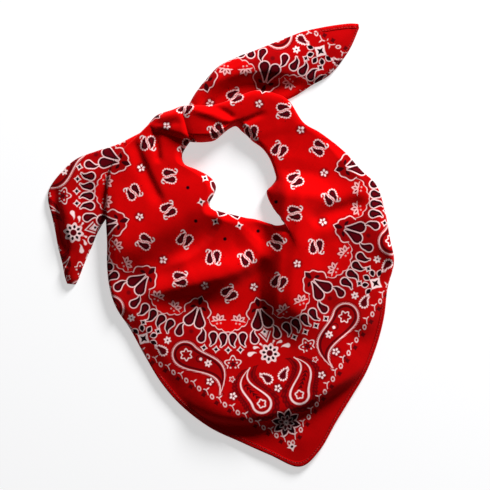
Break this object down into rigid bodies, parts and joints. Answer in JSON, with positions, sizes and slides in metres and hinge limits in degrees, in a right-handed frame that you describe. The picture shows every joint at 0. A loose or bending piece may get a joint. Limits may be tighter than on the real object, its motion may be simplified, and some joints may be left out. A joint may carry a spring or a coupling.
{
  "type": "bandana",
  "caption": "Square cotton bandana folded to a triangle, tied in a knot as a neck scarf and laid down flat, with two loose tails and an open neck loop.",
  "frame": {"origin": "on the surface that the cloth lies on, under the middle of its bounding box", "axes": "+X right and +Y up in the plane that it lies in, with the point of the triangle towards -Y and the knot towards +Y; +Z up from the surface"},
  "size_m": [0.4161, 0.533, 0.029],
  "materials": {
    "printed_cotton": "matt plain weave, printed with a white, dark red and black paisley pattern",
    "printed_cotton_reverse": "matt plain weave, paler side of the print"
  },
  "bodies": {
    "root": {"front_panel": "printed_cotton", "left_arm": "printed_cotton", "right_arm": "printed_cotton", "roll": "printed_cotton", "knot_wrap": "printed_cotton", "left_tail": "printed_cotton", "right_tail": "printed_cotton", "back_panel": "printed_cotton_reverse", "left_arm_back": "printed_cotton_reverse", "right_arm_back": "printed_cotton_reverse"}
  },
  "joints": []
}
